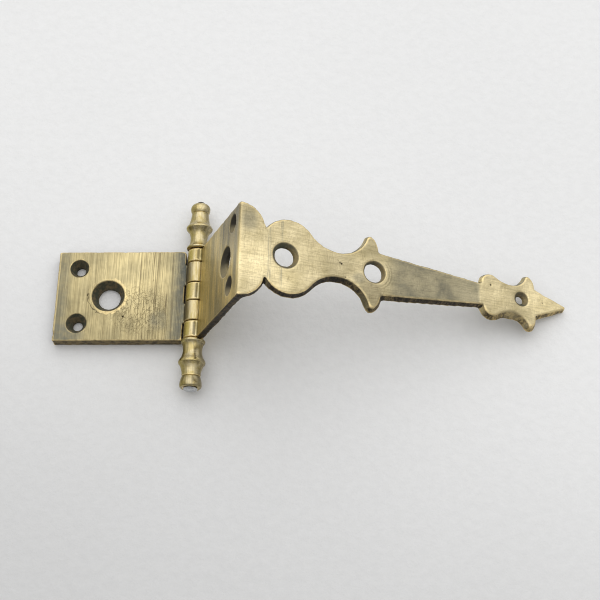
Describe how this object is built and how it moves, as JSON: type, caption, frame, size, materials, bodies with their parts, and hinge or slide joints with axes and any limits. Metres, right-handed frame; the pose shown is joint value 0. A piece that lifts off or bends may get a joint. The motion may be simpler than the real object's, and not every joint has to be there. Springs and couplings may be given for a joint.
{
  "type": "strap hinge",
  "caption": "Cast brass strap hinge: square butt leaf, cranked strap leaf with a waisted, arrow-headed strap, and a steel pin carrying turned finials.",
  "frame": {"origin": "on the butt leaf's seating (back) face, on its centre line, 20 mm from the pin axis", "axes": "+Z from the seating face out through the butt leaf, +X from the butt leaf towards the pin and the strap, +Y along the pin towards its peened tip"},
  "size_m": [0.2152, 0.0855, 0.0597],
  "materials": {
    "leaf_brass": "aged cast brass, filed across the leaf, brown-grey patina in the hollows",
    "strap_brass": "aged cast brass, brushed along the strap, dark rough-cast edges",
    "finial_brass": "turned and handled brass, polished on the high rings",
    "pin_steel": "dull grey steel, peened ends"
  },
  "bodies": {
    "butt": {"butt_leaf": "leaf_brass"},
    "strap": {"strap_leaf": "strap_brass"},
    "pin": {"hinge_pin": "pin_steel", "upper_finial": "finial_brass", "lower_finial": "finial_brass"}
  },
  "joints": [
    {"name": "leaf_swing", "type": "hinge", "parent": "butt", "child": "strap", "pos_m": [0.02, 0, 0.006], "axis": [0, 1, 0], "range_deg": [-112, 156]},
    {"name": "pin_spin", "type": "hinge", "parent": "butt", "child": "pin", "pos_m": [0.02, 0, 0.006], "axis": [0, 1, 0], "continuous": true}
  ]
}
